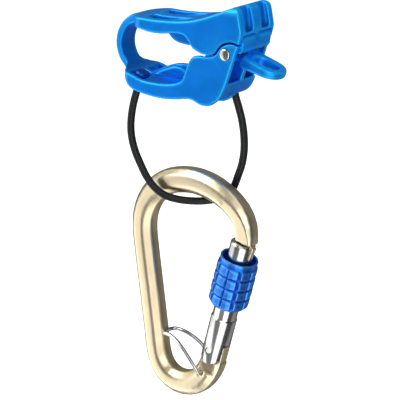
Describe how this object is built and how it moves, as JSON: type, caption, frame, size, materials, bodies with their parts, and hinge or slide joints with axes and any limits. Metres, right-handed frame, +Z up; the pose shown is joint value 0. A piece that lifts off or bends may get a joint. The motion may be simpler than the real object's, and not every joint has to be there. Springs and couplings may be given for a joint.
{
  "type": "assisted braking belay device",
  "caption": "Folded forged two-slot belay device with a guide eye, kept by a coated cable on a pear-shaped screw-gate carabiner with a captive wire bail.",
  "frame": {"origin": "where a peg or gear loop, passing through the device's window along Y, bears on the underside of the upper arm at the middle of the depth", "axes": "+X along the device from the bow towards the head and its guide eye, +Y into the device's depth away from the viewer of the picture, +Z up"},
  "size_m": [0.0959, 0.031, 0.2082],
  "materials": {
    "forging": "satin anodised, blue",
    "rivet_steel": "polished",
    "ferrule_steel": "satin",
    "cable_coating": "black coating over a steel cable",
    "frame_alloy": "satin anodised, champagne",
    "gate_alloy": "polished",
    "pin_steel": "ground",
    "spring_steel": "drawn wire",
    "sleeve_alloy": "satin anodised, blue",
    "bail_wire": "polished wire"
  },
  "bodies": {
    "device": {"belay_body": "forging", "end_rivet": "rivet_steel", "left_ferrule": "ferrule_steel", "right_ferrule": "ferrule_steel", "keeper_cable": "cable_coating"},
    "carabiner": {"carabiner_frame": "frame_alloy"},
    "gate": {"gate_barrel": "gate_alloy", "gate_pin": "pin_steel", "gate_spring": "spring_steel"},
    "plunger": {"gate_plunger": "pin_steel"},
    "sleeve": {"lock_sleeve": "sleeve_alloy"},
    "bail": {"wire_bail": "bail_wire"}
  },
  "joints": [
    {"name": "carabiner_swing", "type": "hinge", "parent": "device", "child": "carabiner", "pos_m": [0.02, 0, -0.079], "axis": [0.9962, -0.0872, 0], "range_deg": [-8, 8]},
    {"name": "gate_open", "type": "hinge", "parent": "carabiner", "child": "gate", "pos_m": [0.03254, -0.0011, -0.16054], "axis": [-0.0872, -0.9962, 0], "range_deg": [0, 22], "stiffness_Nm_per_rad": 0.05, "springref_deg": -40.11},
    {"name": "plunger_slide", "type": "slide", "parent": "gate", "child": "plunger", "axis": [0.2779, -0.0243, 0.9603], "range_m": [0, 0.00096], "deforming": ["gate_spring"]},
    {"name": "sleeve_travel", "type": "slide", "parent": "gate", "child": "sleeve", "axis": [-0.2779, 0.0243, -0.9603], "range_m": [0, 0.0062]},
    {"name": "bail_open", "type": "hinge", "parent": "carabiner", "child": "bail", "pos_m": [0.0263, -0.00055, -0.17405], "axis": [0.0872, 0.9962, 0], "range_deg": [0, 30], "stiffness_Nm_per_rad": 0.02, "springref_deg": -11.46}
  ],
  "couplings": [
    {"joint": "plunger_slide", "follows": "gate_open", "m_per_rad": 0.0025}
  ]
}
